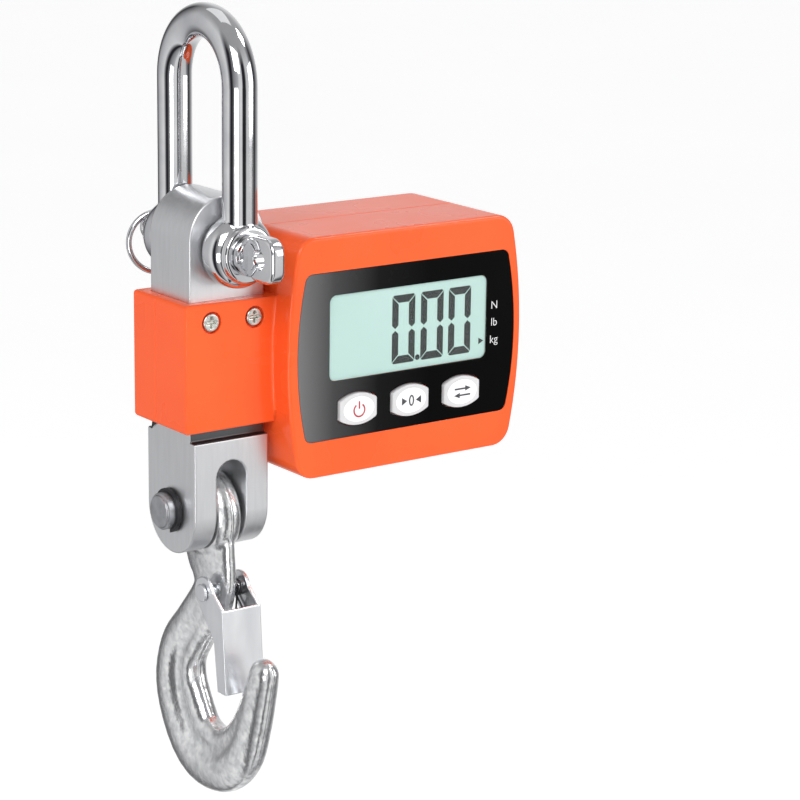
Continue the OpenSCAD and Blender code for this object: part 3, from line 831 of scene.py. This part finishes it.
# %% Finishes on the CAD parts
for node, finish in (("strain_gauges", gauge_foil), ("gauge_cable", cable_jacket),
                     ("shell_screws", zinc_screw), ("lcd_face", lcd_mint), ("lcd_module", lcd_mint),
                     ("lcd_frame", frame_white), ("zebra_strip", zebra_rubber),
                     ("main_board", board_green), ("board_chips", chip_black),
                     ("tact_switches", switch_dark), ("board_screws", zinc_screw),
                     ("battery_cells", cell_wrap), ("cell_springs", contact_nickel),
                     ("cell_plates", contact_nickel), ("latch_spring", dark_phosphate)):
    part = frame["nodes"][node]
    for part_slot in part.material_slots:
        part_slot.material = finish
    print(node, "has", finish.name)

# %% [markdown]
# ## Floor, light and sky
# The scale hangs in the air above a pale floor. Two large soft lights give a broad highlight
# from the upper left and a weaker fill from the right. Two more show only in reflections,
# and put a light line on the housing's left and top edges. Polished metal shows what is
# round it, so the sky has pale and dark bands: a radial gradient runs through a ramp, which
# gives a round bar the dark and white stripes that it has in a studio. Overhead the sky is an
# even grey, and the camera itself sees a plain white one.

# %% Floor
FLOOR_SIZE, FLOOR_Z = 24, -0.62
bpy.ops.object.select_all(action="DESELECT")
bpy.ops.mesh.primitive_plane_add(size=FLOOR_SIZE, location=(0, 0, FLOOR_Z))
floor = bpy.context.object
floor.name = "floor"
floor_paper = make_finish("floor_paper", (0.93, 0.93, 0.93, 1), (0.91, 0.91, 0.91, 1), (0.85, 0.9),
                          broad=2, fine=200, bump=(0.02, 0.1), glow=0.55)
floor.data.materials.append(floor_paper)
floor.visible_glossy = False
floor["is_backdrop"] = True
print("floor at", FLOOR_Z, "m")

# %% Lights
MIDDLE = Vector((0.03, 0, -0.12))


def soft_light(name, spot, size, power):
    bpy.ops.object.select_all(action="DESELECT")
    bpy.ops.object.light_add(type="AREA", location=spot)
    light = bpy.context.object
    light.name = name
    light.data.size = size
    light.data.energy = power
    light.rotation_euler = (Vector(spot) - MIDDLE).to_track_quat("Z", "Y").to_euler()
    print(name, "power", power)
    return light


soft_light("key_light", (-0.55, -0.6, 0.45), 0.5, 5.5)
soft_light("fill_light", (0.75, -0.75, 0.1), 0.6, 3)
soft_light("top_light", (0.1, 0.25, 0.7), 0.5, 0.5)
edge_lights = [soft_light("left_edge_light", (-0.78, -0.6, -0.3), 0.4, 1.8),
               soft_light("top_edge_light", (0.62, -0.2, 0.7), 0.3, 3)]
for edge_light in edge_lights:
    edge_light.visible_diffuse = False
    edge_light.visible_camera = False

# %% Bands of the sky
sky = bpy.data.worlds.new("studio")
bpy.context.scene.world = sky
sky.use_nodes = True
nodes, links = sky.node_tree.nodes, sky.node_tree.links
where = nodes.new("ShaderNodeTexCoord")
around = nodes.new("ShaderNodeTexGradient")
around.gradient_type = "RADIAL"
links.new(where.outputs["Generated"], around.inputs["Vector"])
white, bright, pale = (1, 1, 1, 1), (0.85, 0.85, 0.85, 1), (0.62, 0.62, 0.63, 1)
grey, dark = (0.3, 0.3, 0.31, 1), (0.03, 0.03, 0.035, 1)
bands = add_ramp(nodes, links, around.outputs["Fac"],
                 [(0.0, dark), (0.03, dark), (0.055, grey), (0.13, pale), (0.155, white),
                  (0.2, white), (0.215, dark), (0.26, dark), (0.285, bright), (0.375, bright),
                  (0.41, grey), (0.46, dark), (0.55, pale), (0.66, white), (0.74, dark),
                  (0.79, grey), (0.83, pale), (0.95, white), (0.98, grey), (1.0, dark)])
print("bands made with", len(nodes), "nodes")

# %% Roof of the sky, and what the camera sees
ROOF_LOW, ROOF_HIGH = 0.45, 0.8
ROOF_GREY, SEEN_WHITE = (0.5, 0.5, 0.5, 1), (1.05, 1.05, 1.05, 1)
SKY_STRENGTH = 0.95
split = nodes.new("ShaderNodeSeparateXYZ")
links.new(where.outputs["Generated"], split.inputs["Vector"])
overhead = add_range(nodes, links, split.outputs["Z"], 0, 1, ROOF_LOW, ROOF_HIGH)
roofed = add_mix(nodes, links, overhead, bands, ROOF_GREY)
seen = nodes.new("ShaderNodeLightPath")
plain = add_mix(nodes, links, seen.outputs["Is Camera Ray"], roofed, SEEN_WHITE)
panel = nodes["Background"]
links.new(plain, panel.inputs["Color"])
panel.inputs["Strength"].default_value = SKY_STRENGTH
bpy.context.scene.view_settings.view_transform = "Standard"
print("sky has", len(nodes), "nodes")

# %% [markdown]
# ## Sizes
# The looks must not change the size of the object, so the box of the CAD model and the box
# of the finished model are both measured, and how much the box grew is printed.

# %% Sizes
seen_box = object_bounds()
grown = [round((b - a) / MM, 3) for pair in zip(cad_box, seen_box) for a, b in zip(*pair)]
print("box grew by", grown, "mm")
